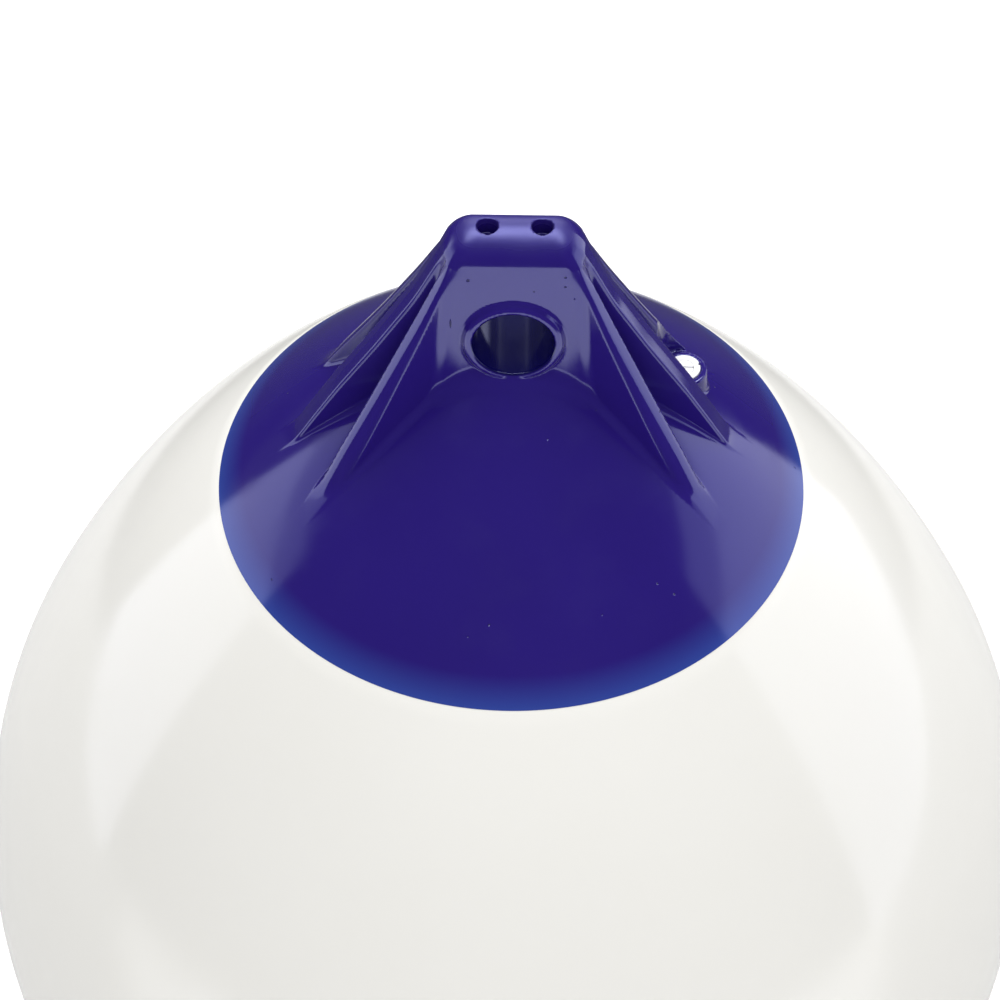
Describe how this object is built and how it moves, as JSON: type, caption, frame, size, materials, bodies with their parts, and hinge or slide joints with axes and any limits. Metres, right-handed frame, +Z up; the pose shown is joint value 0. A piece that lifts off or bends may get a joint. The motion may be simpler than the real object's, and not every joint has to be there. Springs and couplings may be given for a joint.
{
  "type": "inflatable mooring buoy",
  "caption": "Inflatable mooring buoy: a hollow white pear-shaped body with a moulded dark blue rope hold on its crown, ribbed, with a through eye for the line and a screw valve beside it.",
  "frame": {"origin": "lowest point of the round body, on the buoy's axis", "axes": "+Z up the buoy's axis through the rope eye, Y along the eye's bore, X along the slab; the valve is on the +X, +Y side"},
  "size_m": [0.432, 0.4318, 0.585],
  "materials": {
    "white_vinyl": "smooth moulded soft vinyl, semi-gloss",
    "blue_vinyl": "smooth moulded vinyl, glossy, with small moulding pits",
    "white_plastic": "moulded hard plastic",
    "seal_rubber": "matt"
  },
  "bodies": {
    "buoy": {"body_shell": "white_vinyl", "rope_hold": "blue_vinyl", "valve_seat": "white_plastic"},
    "bleed_screw": {"valve_screw": "white_plastic", "valve_seal": "seal_rubber"}
  },
  "joints": [
    {"name": "bleed_screw_lift", "type": "slide", "parent": "buoy", "child": "bleed_screw", "axis": [0, 0, 1], "range_m": [0, 0.02]}
  ]
}
